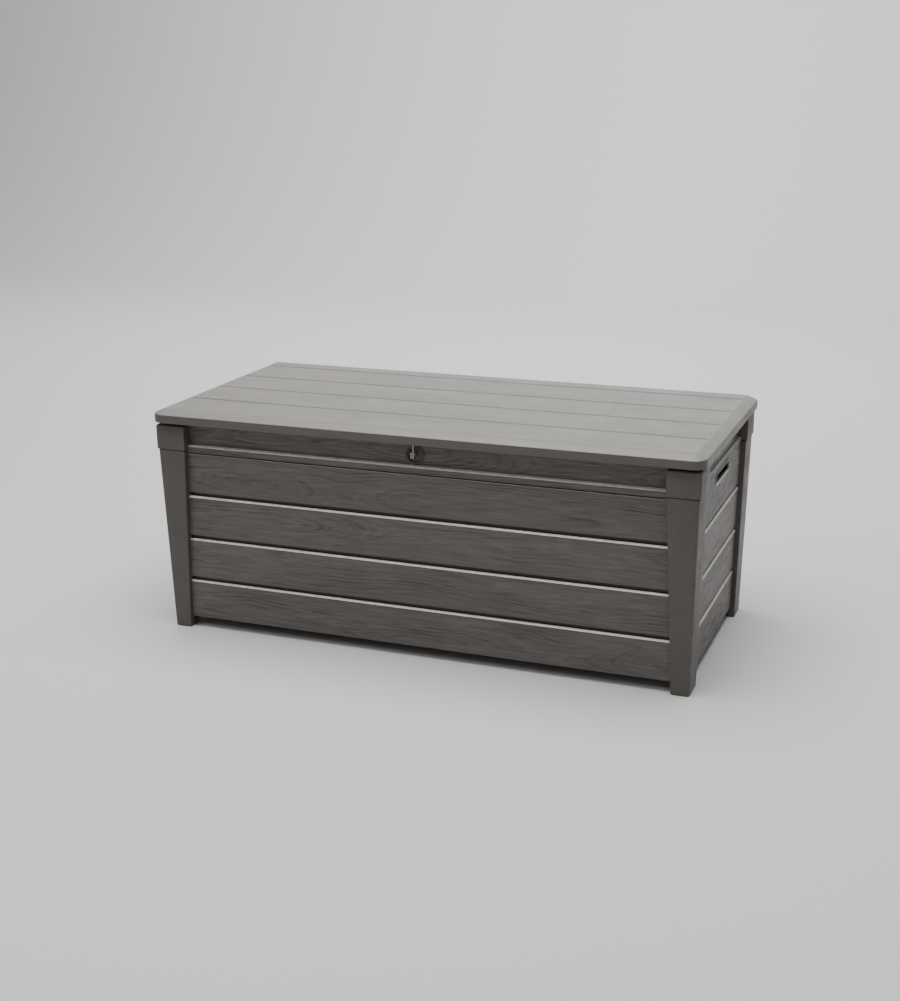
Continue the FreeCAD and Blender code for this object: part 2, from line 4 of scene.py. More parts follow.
import bmesh
import bpy
import numpy as np
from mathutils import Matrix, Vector


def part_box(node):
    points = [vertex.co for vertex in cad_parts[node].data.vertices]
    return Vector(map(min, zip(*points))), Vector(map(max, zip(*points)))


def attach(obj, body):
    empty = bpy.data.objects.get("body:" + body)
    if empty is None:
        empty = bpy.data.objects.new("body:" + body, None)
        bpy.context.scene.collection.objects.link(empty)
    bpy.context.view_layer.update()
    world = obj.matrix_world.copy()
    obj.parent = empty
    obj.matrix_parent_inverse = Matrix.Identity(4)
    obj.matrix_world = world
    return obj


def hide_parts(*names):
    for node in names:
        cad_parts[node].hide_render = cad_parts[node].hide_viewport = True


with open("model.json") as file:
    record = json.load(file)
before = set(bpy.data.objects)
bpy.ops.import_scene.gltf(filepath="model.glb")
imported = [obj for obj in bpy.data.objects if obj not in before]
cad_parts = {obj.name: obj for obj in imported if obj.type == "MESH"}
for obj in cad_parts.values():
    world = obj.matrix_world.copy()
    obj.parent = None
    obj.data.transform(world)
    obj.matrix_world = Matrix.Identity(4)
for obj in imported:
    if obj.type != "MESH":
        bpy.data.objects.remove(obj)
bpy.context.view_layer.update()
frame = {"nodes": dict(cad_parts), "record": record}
NODES = frame["nodes"]

SEED = 41

# ---- walls, as the frame has them (metres) ----
LEDGE_Z = 0.5085
RAIL_BOTTOM = 0.4905
RAIL_GROOVE = 0.0046
PANEL_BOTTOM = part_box("front_panel")[0][2]
RIM_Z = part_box("front_panel")[1][2]
PANEL_WALL = 0.0032
PANEL_DEPTH = 0.014
GROOVES = (0.1345, 0.2520, 0.3710)
GROOVE_BEVEL = 0.0047
GROOVE_GAP = 0.0098
GROOVE_DEPTH = 0.0098
FRONT = {"plane": 0.320, "draft": 0.022, "skin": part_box("front_panel")[1][0], "ribbed": 0.632,
         "recess": 0.011, "rail": 0.0015}
SIDE = {"plane": 0.700, "draft": 0.017, "skin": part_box("right_panel")[1][1], "ribbed": 0.240,
        "recess": 0.008, "rail": 0.0}
HANDLE_HALF = 0.078
HANDLE_LOW = 0.464
HANDLE_HIGH = 0.486
HANDLE_LIP = ((0.0, -0.0045), (0.0, 0.0), (0.0006, 0.0012), (0.0018, 0.0018), (0.0036, 0.0018),
              (0.0048, 0.0012), (0.0054, 0.0))  # outward from the slot's edge, proud of the wall
RIB_HALF = 0.00125
SIDE_RIBS = (-0.235, -0.170, -0.100, 0.100, 0.170, 0.235)
LONG_BAYS = 8
LOCK_HOLE = (0.0, 0.537, 0.0236)    # along, height, radius
LONG_STEP = 0.0075                  # sampling along the long walls and the end walls
END_STEP = 0.0045

# ---- lid ----
LID_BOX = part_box("lid_shell")
LID_HALF = (LID_BOX[1][0], LID_BOX[1][1])
LID_BOTTOM = LID_BOX[0][2]
LID_TOP = LID_BOX[1][2]
LID_SHOULDER = 0.590
LID_EDGE = 0.028
LID_SLOPE = ((0.0, -0.0008), (0.0002, 0.0), (0.0006, 0.0007), (0.0013, 0.0013), (0.0024, 0.0019),
             (0.0060, 0.0036), (0.0120, 0.0064), (0.0180, 0.0092), (0.0215, 0.0107), (0.0235, 0.0115),
             (0.0255, 0.0122), (0.0275, 0.0127), (0.0300, 0.0130))  # sloping edge: inset, rise
LID_CORNER = 0.034
LID_WALL = 0.003
LID_GROOVES = (-0.183, -0.032, 0.117, 0.267)
LID_GROOVE_HALF = 0.0068
LID_GROOVE_DEPTH = 0.0024
LID_RELIEF = 0.00030

# ---- corner posts and caps ----
POST_TOP = 0.556
CAP_BOTTOM = 0.498
CAP_TOP = 0.563
POST_INNER = (0.675, 0.292)
POST_HEAD = (0.7125, 0.3365)
POST_FOOT = (0.703, 0.319)
POST_HEAD_EDGES = (0.635, 0.245)
POST_FOOT_EDGES = (0.657, 0.245)
CAP_CORNER = (0.716, 0.3385)
CAP_EDGES = (0.633, 0.243)
POST_NECK = 0.0022                  # how far the posts step in under their caps

# ---- wood relief: knots as (along, height, half length, half height) ----
RING = 0.0062
RELIEF = 0.0010
FRONT_KNOTS = ((-0.464, 0.4435, 0.036, 0.0100), (0.221, 0.4120, 0.032, 0.0080),
               (-0.412, 0.3170, 0.014, 0.0065), (0.029, 0.3190, 0.018, 0.0070),
               (0.473, 0.3160, 0.024, 0.0070), (-0.285, 0.1920, 0.022, 0.0090),
               (0.331, 0.2000, 0.036, 0.0095), (-0.530, 0.1860, 0.014, 0.0060),
               (0.400, 0.1030, 0.036, 0.0090), (-0.180, 0.0700, 0.026, 0.0075))
SIDE_KNOTS = ((-0.11, 0.43, 0.022, 0.007), (0.06, 0.31, 0.014, 0.006), (-0.03, 0.10, 0.026, 0.007))
LID_KNOTS = ((0.47, -0.245, 0.014, 0.006), (-0.40, 0.04, 0.025, 0.008), (0.12, 0.19, 0.020, 0.007))

# painted highlight: a pale colour laid on what faces up, standing in for the sky's sheen on bevels, ledges
# and the slot's lip
UPWARD_HIGHLIGHT = (0.66, 0.63, 0.585)


# ---- repeatable noise ----
def noise(u, v, seed):
    """Smooth random field, 0 to 1, with a period of one unit."""
    table = np.random.RandomState(seed).rand(256, 256)
    u, v = np.broadcast_arrays(u, v)
    iu, iv = np.floor(u).astype(int), np.floor(v).astype(int)
    fu, fv = u - iu, v - iv
    fu, fv = fu * fu * (3 - 2 * fu), fv * fv * (3 - 2 * fv)

    def at(a, b):
        return table[a % 256, b % 256]
    low = at(iu, iv) * (1 - fu) + at(iu + 1, iv) * fu
    high = at(iu, iv + 1) * (1 - fu) + at(iu + 1, iv + 1) * fu
    return low * (1 - fv) + high * fv


def layered(u, v, seed, octaves):
    total, weight = 0.0, 0.0
    for i in range(octaves):
        total = total + noise(u * 2 ** i, v * 2 ** i, seed + i) * 0.5 ** i
        weight += 0.5 ** i
    return total / weight


def grain(along, across, seed, knots):
    """Wood relief of one board, 0 in the valleys to 1 on the ridges: growth rings cut at a slant."""
    middle = (across.min() + across.max()) / 2
    level, core = across, np.zeros_like(across)
    for a, c, length, height in knots:
        far = ((along - a) / length) ** 2 + ((across - c) / height) ** 2
        level = level - (across - c) / np.maximum(far, 1) ** 1.2
        core = core + np.clip(1 - np.sqrt(far), 0, 1) * (1.2 * height)
    level = level + 0.010 * (layered(along / 0.16, across / 0.05, seed + 4, 3) - 0.5)
    heart = middle + 0.080 * (np.random.RandomState(seed).rand() - 0.5)
    heart = heart + 0.060 * (noise(along / 0.6, 0.5, seed) - 0.5)
    depth = 0.008 + 0.100 * layered(along / 0.42, across / 0.30, seed + 2, 2) ** 1.4
    radius = np.hypot(level - heart, depth)
    ring = (radius + core) / RING
    lines = valley(ring, seed + 6, 2.8) * (0.30 + 0.70 * np.abs(level - heart) / radius)
    fine = valley(ring * 2.3 + 0.5 * noise(along / 0.08, across / 0.02, seed + 9), seed + 12, 1.5)
    patch = np.clip(1.8 * layered(along / 0.16, across / 0.035, seed + 20, 3) - 0.35, 0.12, 1.0)
    fibre = layered(along / 0.055, across / 0.0042, seed + 30, 2)
    streak = noise(along / 0.030, across / 0.0026, seed + 40)
    height = 0.66 - 0.50 * lines * patch - 0.26 * fine * patch - 0.26 * fibre - 0.20 * streak
    return np.clip(height / 0.56, 0, 1)


def valley(ring, seed, sharpness):
    """Lines at whole numbers, each with its own depth, 0 to 1."""
    depth = np.random.RandomState(seed).rand(512)
    deep = depth[np.round(ring).astype(int) % 512]
    return (0.25 + 0.75 * deep) * (0.5 + 0.5 * np.cos(2 * math.pi * ring)) ** sharpness


# ---- mesh helpers ----
def unit(vector):
    return vector / np.linalg.norm(vector)


def rounded_path(corners, radii, arc_steps, gaps):
    """Closed outline with rounded corners. gaps[i] is the longest step on the side after corner i."""
    points, count = [], len(corners)
    pts = [np.array(c, float) for c in corners]
    rounded = []
    for i, here in enumerate(pts):
        back, ahead = unit(pts[i - 1] - here), unit(pts[(i + 1) % count] - here)
        if not radii[i]:
            rounded.append([here])
            continue
        half = math.acos(max(-1.0, min(1.0, float(back @ ahead)))) / 2
        start, end = here + back * radii[i] / math.tan(half), here + ahead * radii[i] / math.tan(half)
        centre = here + unit(back + ahead) * radii[i] / math.sin(half)
        sweep = math.pi - 2 * half
        a, b = start - centre, end - centre
        arc = [(a * math.sin((1 - t) * sweep) + b * math.sin(t * sweep)) / math.sin(sweep)
               for t in np.linspace(0, 1, arc_steps + 1)]
        rounded.append([centre + spoke for spoke in arc])
    for i in range(count):
        points += rounded[i]
        start, end = rounded[i][-1], rounded[(i + 1) % count][0]
        pieces = max(1, math.ceil(np.linalg.norm(end - start) / gaps[i]))
        points += [start + (end - start) * k / pieces for k in range(1, pieces)]
    return np.array(points)


def grid_faces(rows, columns, wrap):
    """Quads of a rows x columns sheet of points; wrap joins the last row to the first."""
    r = np.arange(rows if wrap else rows - 1)
    c = np.arange(columns - 1)
    r, c = np.meshgrid(r, c, indexing="ij")
    nxt = (r + 1) % rows
    return np.stack([r * columns + c, r * columns + c + 1, nxt * columns + c + 1, nxt * columns + c],
                    axis=-1).reshape(-1, 4)


def ring_faces(rings, count):
    """Quads between closed rings of points that follow one another."""
    return [(k * count + i, k * count + (i + 1) % count,
             (k + 1) * count + (i + 1) % count, (k + 1) * count + i)
            for k in range(rings - 1) for i in range(count)]


def piece(name, verts, faces, body, material, replaces=(), sharp=40, layers=None):
    """A new mesh object that rides on a body and takes its finish from a slot of the record."""
    mesh = bpy.data.meshes.new(name)
    mesh.from_pydata([tuple(v) for v in np.asarray(verts).tolist()], [], [tuple(f) for f in faces])
    mesh.validate()
    for key, values in (layers or {}).items():
        attribute = mesh.attributes.new(key, "FLOAT", "POINT")
        attribute.data.foreach_set("value", np.asarray(values, np.float32))
    mesh.polygons.foreach_set("use_smooth", [True] * len(mesh.polygons))
    mesh.set_sharp_from_angle(angle=math.radians(sharp))
    made = bpy.data.objects.new(name, mesh)
    bpy.context.scene.collection.objects.link(made)
    mesh.materials.append(material)
    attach(made, body)
    if replaces:
        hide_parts(*replaces)
    return made


def turned(verts, quarter):
    """Points of a part that faces -Y, turned by quarter turns about the upright axis."""
    cos, sin = ((1, 0), (0, 1), (-1, 0), (0, -1))[quarter % 4]
    x, y, z = np.asarray(verts).T
    return np.stack([x * cos - y * sin, x * sin + y * cos, z], axis=1)


def recalculated(made):
    """Faces turned to point outward."""
    shape = bmesh.new()
    shape.from_mesh(made.data)
    bmesh.ops.recalc_face_normals(shape, faces=shape.faces)
    shape.to_mesh(made.data)
    shape.free()
    return made


# ---- walls ----
def face_at(wall, z):
    return wall["plane"] - wall["draft"] * (LEDGE_Z - z)


def wall_outline(wall, marks):
    """Corners (outward, height), their radii and the sampling after each, for the whole section."""
    fine, coarse, tight = 0.00125, 0.030, 0.0009
    corners, radii, gaps = [(face_at(wall, PANEL_BOTTOM), PANEL_BOTTOM)], [0.0012], [fine]

    def add(d, z, radius, gap):
        corners.append((d, z))
        radii.append(radius)
        gaps.append(gap)
    for z in GROOVES:
        add(face_at(wall, z), z - GROOVE_BEVEL, 0.0012, tight)
        add(face_at(wall, z) - GROOVE_BEVEL, z, 0.0007, tight * 2)
        add(face_at(wall, z) - GROOVE_DEPTH, z, 0.0006, 0.004)
        add(face_at(wall, z) - GROOVE_DEPTH, z + GROOVE_GAP, 0.0006, 0.004)
        add(face_at(wall, z), z + GROOVE_GAP, 0.0026, fine)
    for z in marks:
        add(face_at(wall, z), z, 0.0, fine)
    front = face_at(wall, LEDGE_Z) + wall["rail"]
    if wall["rail"]:
        low = RAIL_BOTTOM - RAIL_GROOVE
        add(face_at(wall, low), low, 0.0009, tight)
        add(face_at(wall, low) - 0.0028, low + 0.0012, 0.0004, tight)
        add(face_at(wall, low) - 0.0028, RAIL_BOTTOM, 0.0004, tight)
        add(front, RAIL_BOTTOM + 0.0003, 0.0009, fine)
    band = wall["plane"] - wall["recess"]
    add(front, LEDGE_Z - 0.0030, 0.0012, tight)
    add(front - 0.0030, LEDGE_Z, 0.0010, 0.003)
    add(band, LEDGE_Z, 0.0012, fine)
    add(band, RIM_Z, 0.0010, 0.002)
    add(band - PANEL_WALL, RIM_Z, 0.0010, coarse)
    for d, z in inner_corners(wall, marks):
        add(d, z, 0.0, coarse)
    return corners, radii, gaps


def inner_corners(wall, marks):
    """Inside of the skin, from the ledge down."""
    step = LEDGE_Z - PANEL_WALL
    corners = [(wall["plane"] - wall["recess"] - PANEL_WALL, step),
               (face_at(wall, step) - PANEL_WALL, step)]
    for z in reversed(marks):
        corners.append((face_at(wall, z) - PANEL_WALL, z))
    for z in reversed(GROOVES):
        top, low = z + GROOVE_GAP + PANEL_WALL, z - PANEL_WALL - 0.002
        corners += [(face_at(wall, top) - PANEL_WALL, top),
                    (face_at(wall, top) - GROOVE_DEPTH - PANEL_WALL, top),
                    (face_at(wall, top) - GROOVE_DEPTH - PANEL_WALL, low),
                    (face_at(wall, low) - PANEL_WALL, low - GROOVE_DEPTH)]
    return corners + [(face_at(wall, PANEL_BOTTOM) - PANEL_WALL, PANEL_BOTTOM)]


def relief_weight(wall, d, z):
    """1 on the planks' faces and the band, 0 in the grooves and round their edges."""
    plank = np.clip(1 - np.abs(d - face_at(wall, z)) / 0.0005, 0, 1)
    rail = np.clip(1 - np.abs(d - face_at(wall, LEDGE_Z) - wall["rail"]) / 0.0004, 0, 1)
    band = np.clip(1 - np.abs(d - wall["plane"] + wall["recess"]) / 0.0004, 0, 1)
    weight = np.maximum(np.maximum(plank, rail * (z > RAIL_BOTTOM)), band * (z > LEDGE_Z))
    borders = [PANEL_BOTTOM, LEDGE_Z - 0.0030, LEDGE_Z + 0.001]
    borders += [z0 for g in GROOVES for z0 in (g - GROOVE_BEVEL, g + GROOVE_GAP)]
    if wall["rail"]:
        borders += [RAIL_BOTTOM, RAIL_BOTTOM - RAIL_GROOVE]
    for border in borders:
        weight = weight * np.clip(np.abs(z - border) / 0.003 - 0.25, 0, 1)
    return weight


def groove_share(wall, d, z):
    """1 deep in the gaps between boards and under the rail, 0 elsewhere."""
    deep = np.clip((face_at(wall, z) - d - 0.0046) / 0.0012, 0, 1)
    near = sum(((z > g - 0.0015) & (z < g + GROOVE_GAP + 0.0004)).astype(float) for g in GROOVES)
    under = (z > RAIL_BOTTOM - RAIL_GROOVE) & (z < RAIL_BOTTOM + 0.0001)
    under = under & (face_at(wall, z) - d > 0.0006)
    return np.maximum(deep * near, under * float(wall["rail"] > 0))


def plank_number(z):
    """Which board a height lies on: each has its own grain."""
    number = np.zeros_like(z, dtype=int)
    for border in GROOVES + (RAIL_BOTTOM - RAIL_GROOVE, LEDGE_Z):
        number = number + (z > border)
    return number


def wall_skin(name, wall, quarter, step, seed, knots, material, node, hole=None, window=False):
    """One wall's moulded skin as a closed section run along the wall, with the grain standing on it."""
    marks = (HANDLE_LOW, HANDLE_HIGH) if window else ()
    corners, radii, gaps = wall_outline(wall, marks)
    section = rounded_path(corners, radii, 3, gaps)
    ends = [-wall["skin"], wall["skin"]]
    if window:
        ends = [-wall["skin"], -HANDLE_HALF, HANDLE_HALF, wall["skin"]]
    columns = [np.linspace(a, b, max(2, int((b - a) / step) + 1)) for a, b in zip(ends, ends[1:])]
    along = np.unique(np.concatenate(columns).round(6))
    d, z = section[:, 0][:, None], section[:, 1][:, None]
    x = np.broadcast_to(along[None, :], (len(section), len(along)))
    d, z = np.broadcast_to(d, x.shape), np.broadcast_to(z, x.shape)
    outside = np.zeros(x.shape)
    outside[: section_split(section)] = 1
    weight = relief_weight(wall, d, z) * outside
    height = np.zeros(x.shape)
    numbers = plank_number(z)
    for number in range(numbers.max() + 1):
        here = numbers == number
        height[here] = grain(x[here], z[here], seed + 100 * number, knots)
    out = d - RELIEF * weight * (1 - height)
    upward = upward_share(section)[:, None] * outside
    shade = groove_share(wall, d, z) * outside
    verts = np.stack([x, -out, z], axis=-1).reshape(-1, 3)
    faces = grid_faces(len(section), len(along), True)
    # ledge: how far each point faces up, outside the grooves; it places the painted highlight
    layers = {"grain": (0.5 + (height - 0.5) * weight).reshape(-1),
              "ledge": (upward * (1 - shade)).reshape(-1), "shade": shade.reshape(-1)}
    if hole:
        verts, faces = opened_round(verts, faces, hole)
    if window:
        middle = verts[faces].mean(axis=1)
        inside = (middle[:, 2] > HANDLE_LOW) & (middle[:, 2] < HANDLE_HIGH)
        faces = faces[~(inside & (np.abs(middle[:, 0]) < HANDLE_HALF))]
    caps = [tuple(range(0, len(section) * len(along), len(along))),
            tuple(range(len(along) - 1, len(section) * len(along), len(along)))[::-1]]
    made = piece(name, turned(verts, quarter), [tuple(f) for f in faces.tolist()] + caps, "box",
                 material, (node,), 50, layers)
    return recalculated(made)


def section_split(section):
    """How many points of the section lie on the wall's outside."""
    return int(np.argmax(section[:, 1])) + 1


def upward_share(section):
    """How far each point of a section faces up, 0 to 1."""
    tangent = np.roll(section, -1, axis=0) - np.roll(section, 1, axis=0)
    length = np.linalg.norm(tangent, axis=1) + 1e-12
    return np.clip(-tangent[:, 0] / length, 0, 1)


def opened_round(verts, faces, hole):
    """Cuts a round hole through both skins of a wall, drawing the points around onto its rim."""
    x0, z0, radius = hole
    near, start = radius * 1.16, radius * 0.35
    dx, dz = verts[:, 0] - x0, verts[:, 2] - z0
    away = np.hypot(dx, dz) + 1e-9
    middle = verts[faces].mean(axis=1)
    cut = np.hypot(middle[:, 0] - x0, middle[:, 2] - z0) < start
    kept = faces[~cut]
    rim = np.intersect1d(faces[cut], kept)
    drawn = radius + np.clip(away - start, 0, None) * (near - radius) / (near - start)
    moved = np.where(away < near, drawn, away)
    moved[rim] = radius
    verts = verts.copy()
    verts[:, 0], verts[:, 2] = x0 + dx / away * moved, z0 + dz / away * moved
    return verts, kept


def wall_ribs(name, wall, quarter, places, material, node):
    """Upright ribs, rim flange and floor flange on the inside of a wall."""
    inner = [(d + 0.001, z) for d, z in inner_corners(wall, ())][1:]
    back = [(face_at(wall, PANEL_BOTTOM) - PANEL_DEPTH, PANEL_BOTTOM + 0.001),
            (wall["plane"] - PANEL_DEPTH, LEDGE_Z - 0.004)]
    band, foot = wall["plane"] - wall["recess"], face_at(wall, PANEL_BOTTOM)
    reach = wall["ribbed"]
    plates = [(inner + back, x - RIB_HALF, x + RIB_HALF) for x in places]
    plates.append((rectangle(band - 0.0132, band - 0.002, RIM_Z - 0.0025, RIM_Z), -reach, reach))
    plates.append((rectangle(foot - 0.035, foot - 0.002, PANEL_BOTTOM, PANEL_BOTTOM + 0.003), -reach, reach))
    verts, faces = [], []
    for outline, x0, x1 in plates:
        base, count = len(verts), len(outline)
        verts += [(x0, -d, z) for d, z in outline] + [(x1, -d, z) for d, z in outline]
        faces += [tuple(base + i for i in range(count)),
                  tuple(base + count + i for i in reversed(range(count)))]
        faces += [(base + i, base + count + i, base + count + (i + 1) % count, base + (i + 1) % count)
                  for i in range(count)]
    layers = {"grain": np.full(len(verts), 0.5)}
    made = piece(name, turned(verts, quarter), faces, "box", material, (node,), 30, layers)
    return soft_edges(recalculated(made), 0.0005, 2)


def rectangle(d0, d1, z0, z1):
    return [(d0, z0), (d1, z0), (d1, z1), (d0, z1)]


def soft_edges(made, width, segments):
    """Small rounded edges that catch the light."""
    bevel = made.modifiers.new("edges", "BEVEL")
    bevel.width = width
    bevel.segments = segments
    bevel.limit_method = "ANGLE"
    bevel.angle_limit = math.radians(35)
    bevel.harden_normals = True
    return made


# ---- posts and caps ----
def corner_outline(corner, edges, inner, inset, outer_radius):
    """L-shaped level outline of the front right corner."""
    x, y = corner[0] - inset, corner[1] - inset
    inner_x, inner_y = inner[0] + inset, inner[1] + inset
    edge_x, edge_y = edges[0] + inset, edges[1] + inset
    corners = [(x, -y), (x, -edge_y), (inner_x, -edge_y), (inner_x, -inner_y),
               (edge_x, -inner_y), (edge_x, -y)]
    radii = [outer_radius, 0.0022, 0.0012, 0.003, 0.0012, 0.0022]
    return rounded_path(corners, radii, 6, [1.0] * 6)


def stacked(levels, name, corner_name, material, node):
    """Closed solid through level outlines, given as (outline, height), mirrored to its corner."""
    mirror_x = 1.0 if "right" in corner_name else -1.0
    mirror_y = 1.0 if "front" in corner_name else -1.0
    count = len(levels[0][0])
    verts = np.concatenate([np.column_stack([outline, np.full(count, z)]) for outline, z in levels])
    verts = verts * np.array([mirror_x, mirror_y, 1.0])
    faces = ring_faces(len(levels), count)
    faces += [tuple(range(count)), tuple(range((len(levels) - 1) * count, len(levels) * count))]
    made = piece(name + "_" + corner_name, verts, faces, "box", material, (node,), 32)
    return recalculated(made)


def post(corner_name, material):
    """Tapered column with softened edges and a small chamfer round its foot."""
    def mix(low, high, share):
        return tuple(a + (b - a) * share for a, b in zip(low, high))
    levels = []
    for z, inset in [(0.0, 0.0022), (0.0008, 0.0012), (0.0022, 0.0)] + \
            [(CAP_BOTTOM * k / 12 - 0.003 * (k == 12), 0.0) for k in range(1, 13)] + \
            [(CAP_BOTTOM - 0.0022, 0.0006), (CAP_BOTTOM - 0.0018, POST_NECK), (POST_TOP, POST_NECK)]:
        share = min(z / CAP_BOTTOM, 1.0)
        corner, edges = mix(POST_FOOT, POST_HEAD, share), mix(POST_FOOT_EDGES, POST_HEAD_EDGES, share)
        levels.append((corner_outline(corner, edges, POST_INNER, inset, 0.0065), z))
    return stacked(levels, "post", corner_name, material, "post_" + corner_name)


def cap(corner_name, material):
    """Cover over the post's head, with a rounded lower edge and a bevelled top."""
    inner = (POST_INNER[0] - 0.0025, POST_INNER[1] - 0.0025)
    levels = []
    for z, inset in ((CAP_BOTTOM, 0.0009), (CAP_BOTTOM + 0.0004, 0.0003), (CAP_BOTTOM + 0.0012, 0.0),
                     (CAP_TOP - 0.0046, 0.0), (CAP_TOP - 0.0036, 0.0003), (CAP_TOP - 0.0008, 0.0030),
                     (CAP_TOP - 0.0002, 0.0040), (CAP_TOP, 0.0052)):
        levels.append((corner_outline(CAP_CORNER, CAP_EDGES, inner, inset, 0.0060), z))
    return stacked(levels, "post_cap", corner_name, material, "post_cap_" + corner_name)


# ---- lid ----
def lid_drop(x, y, seed):
    """How far the lid's top lies under its highest plane, for grooves and faint grain; and the grain."""
    drop = np.zeros_like(x)
    for groove in LID_GROOVES:
        across = np.clip(1 - np.abs(y - groove) / LID_GROOVE_HALF, 0, 1)
        drop = np.maximum(drop, LID_GROOVE_DEPTH * across * across * (3 - 2 * across))
    reach = np.clip((LID_HALF[0] - LID_EDGE - np.abs(x)) / 0.004, 0, 1)
    number = sum((y > groove).astype(int) for groove in LID_GROOVES)
    relief = np.zeros_like(x)
    for k in range(len(LID_GROOVES) + 1):
        here = number == k
        relief[here] = 1 - grain(x[here], y[here], seed + 50 * k, LID_KNOTS)
    inner = np.clip((LID_HALF[1] - LID_EDGE - np.abs(y)) / 0.004, 0, 1)
    return drop * reach + LID_RELIEF * relief * reach * inner, relief * reach * inner


def lid_shell(material):
    """Rim, sloping edge and planked top of the outer lid."""
    half_x, half_y = LID_HALF[0] - LID_CORNER, LID_HALF[1] - LID_CORNER
    xs = np.linspace(-half_x, half_x, 200)
    ys = np.linspace(-half_y, half_y, 190)
    across = np.linspace(-LID_GROOVE_HALF, LID_GROOVE_HALF, 9)
    near = np.array([g + t for g in LID_GROOVES for t in across])
    ys = np.unique(np.concatenate([[y for y in ys if np.abs(near - y).min() > 0.0012], near]).round(6))
    ring = []
    for inset, z in rim_levels():
        loop = lid_loop(xs, ys, LID_CORNER - inset, 10)
        ring.append(np.column_stack([loop, np.full(len(loop), z)]))
    gx, gy = np.meshgrid(xs, ys, indexing="ij")
    top = np.stack([gx, gy, np.full(gx.shape, LID_TOP)], axis=-1).reshape(-1, 3)
    verts = np.concatenate(ring + [top])
    count = len(ring[0])
    sheet = grid_faces(len(xs), len(ys), False) + len(ring) * count
    faces = ring_faces(len(ring), count) + [tuple(f) for f in sheet.tolist()]
    drop, relief = lid_drop(verts[:, 0], verts[:, 1], SEED)
    on_top = verts[:, 2] > LID_TOP - 0.0002
    verts[:, 2] -= drop * on_top
    # ledge marks the slope and top, which the material paints lighter than the rim as a painted sheen of the
    # sky
    layers = {"grain": 0.5 + (0.5 - relief) * on_top,
              "shade": np.clip(1.5 * drop / LID_GROOVE_DEPTH, 0, 1) * on_top,
              "ledge": np.clip((verts[:, 2] - LID_SHOULDER) / 0.002, 0, 1)}
    made = piece("lid_shell", verts, faces, "lid", material, ("lid_shell",), 60, layers)
    shape = bmesh.new()
    shape.from_mesh(made.data)
    bmesh.ops.remove_doubles(shape, verts=shape.verts, dist=0.00002)
    bmesh.ops.recalc_face_normals(shape, faces=shape.faces)
    shape.to_mesh(made.data)
    shape.free()
    if made.data.polygons[len(made.data.polygons) - 1].normal.z < 0:
        made.data.flip_normals()
    return made


def rim_levels():
    """(inset, height) from inside the rim, round its lower edge, up the slope to the flat top."""
    levels = [(LID_WALL, LID_BOTTOM + 0.006), (LID_WALL, LID_BOTTOM + 0.0008),
              (LID_WALL - 0.0008, LID_BOTTOM), (0.0012, LID_BOTTOM),
              (0.0004, LID_BOTTOM + 0.0004), (0.0, LID_BOTTOM + 0.0012)]
    levels += [(0.0, z) for z in np.linspace(LID_BOTTOM + 0.004, LID_SHOULDER - 0.002, 6)]
    levels += [(inset, LID_SHOULDER + rise) for inset, rise in LID_SLOPE]
    return levels + [(LID_EDGE + 0.004, LID_TOP), (LID_CORNER, LID_TOP)]


def lid_loop(xs, ys, radius, arc):
    """Level outline with the same sample points on its straight sides at every inset."""
    out_x, out_y = xs[-1] + radius, ys[-1] + radius
    turns = [math.pi / 2 * k / arc for k in range(1, arc)]
    points = [(x, -out_y) for x in xs]
    points += [(xs[-1] + radius * math.sin(t), ys[0] - radius * math.cos(t)) for t in turns]
    points += [(out_x, y) for y in ys]
    points += [(xs[-1] + radius * math.cos(t), ys[-1] + radius * math.sin(t)) for t in turns]
    points += [(x, out_y) for x in xs[::-1]]
    points += [(xs[0] - radius * math.sin(t), ys[-1] + radius * math.cos(t)) for t in turns]
    points += [(-out_x, y) for y in ys[::-1]]
    points += [(xs[0] - radius * math.cos(t), ys[0] - radius * math.sin(t)) for t in turns]
    return np.array(points)


# ---- finger slots ----
def handle_frame(side, material):
    """Rolled lip round the finger slot."""
    outline = rounded_path(rectangle(-HANDLE_HALF, HANDLE_HALF, HANDLE_LOW, HANDLE_HIGH),
                           [0.007] * 4, 6, [1.0] * 4)
    verts = []
    ahead = np.roll(outline, -1, axis=0) - np.roll(outline, 1, axis=0)
    normal = np.column_stack([ahead[:, 1], -ahead[:, 0]])
    normal /= np.linalg.norm(normal, axis=1)[:, None]
    for grow, proud in HANDLE_LIP:
        for (y, z), (ny, nz) in zip(outline, normal):
            verts.append((y + ny * grow, -(face_at(SIDE, z + nz * grow) + proud), z + nz * grow))
    faces = ring_faces(len(HANDLE_LIP), len(outline))
    verts = turned(verts, 1 if side == "right" else 3)
    # ledge places the painted highlight: full on the slot's lower lip, weaker round the rest of the lip
    layers = {"grain": np.full(len(verts), 0.6),
              "ledge": np.clip((HANDLE_LOW + 0.0005 - verts[:, 2]) / 0.001, 0.35, 1)}
    made = piece("handle_lip_" + side, verts, faces, "box", material, (), 50, layers)
    thick = made.modifiers.new("thickness", "SOLIDIFY")
    thick.thickness = 0.0006
    thick.offset = -1
    return recalculated(made)


# ---- materials ----
def new_material(name, color, roughness, metallic=0.0, specular=0.5):
    material = bpy.data.materials.new(name)
    material.use_nodes = True
    shader = material.node_tree.nodes["Principled BSDF"]
    shader.inputs["Base Color"].default_value = (*color, 1)
    shader.inputs["Roughness"].default_value = roughness
    shader.inputs["Metallic"].default_value = metallic
    shader.inputs["Specular IOR Level"].default_value = specular
    return material, material.node_tree, shader


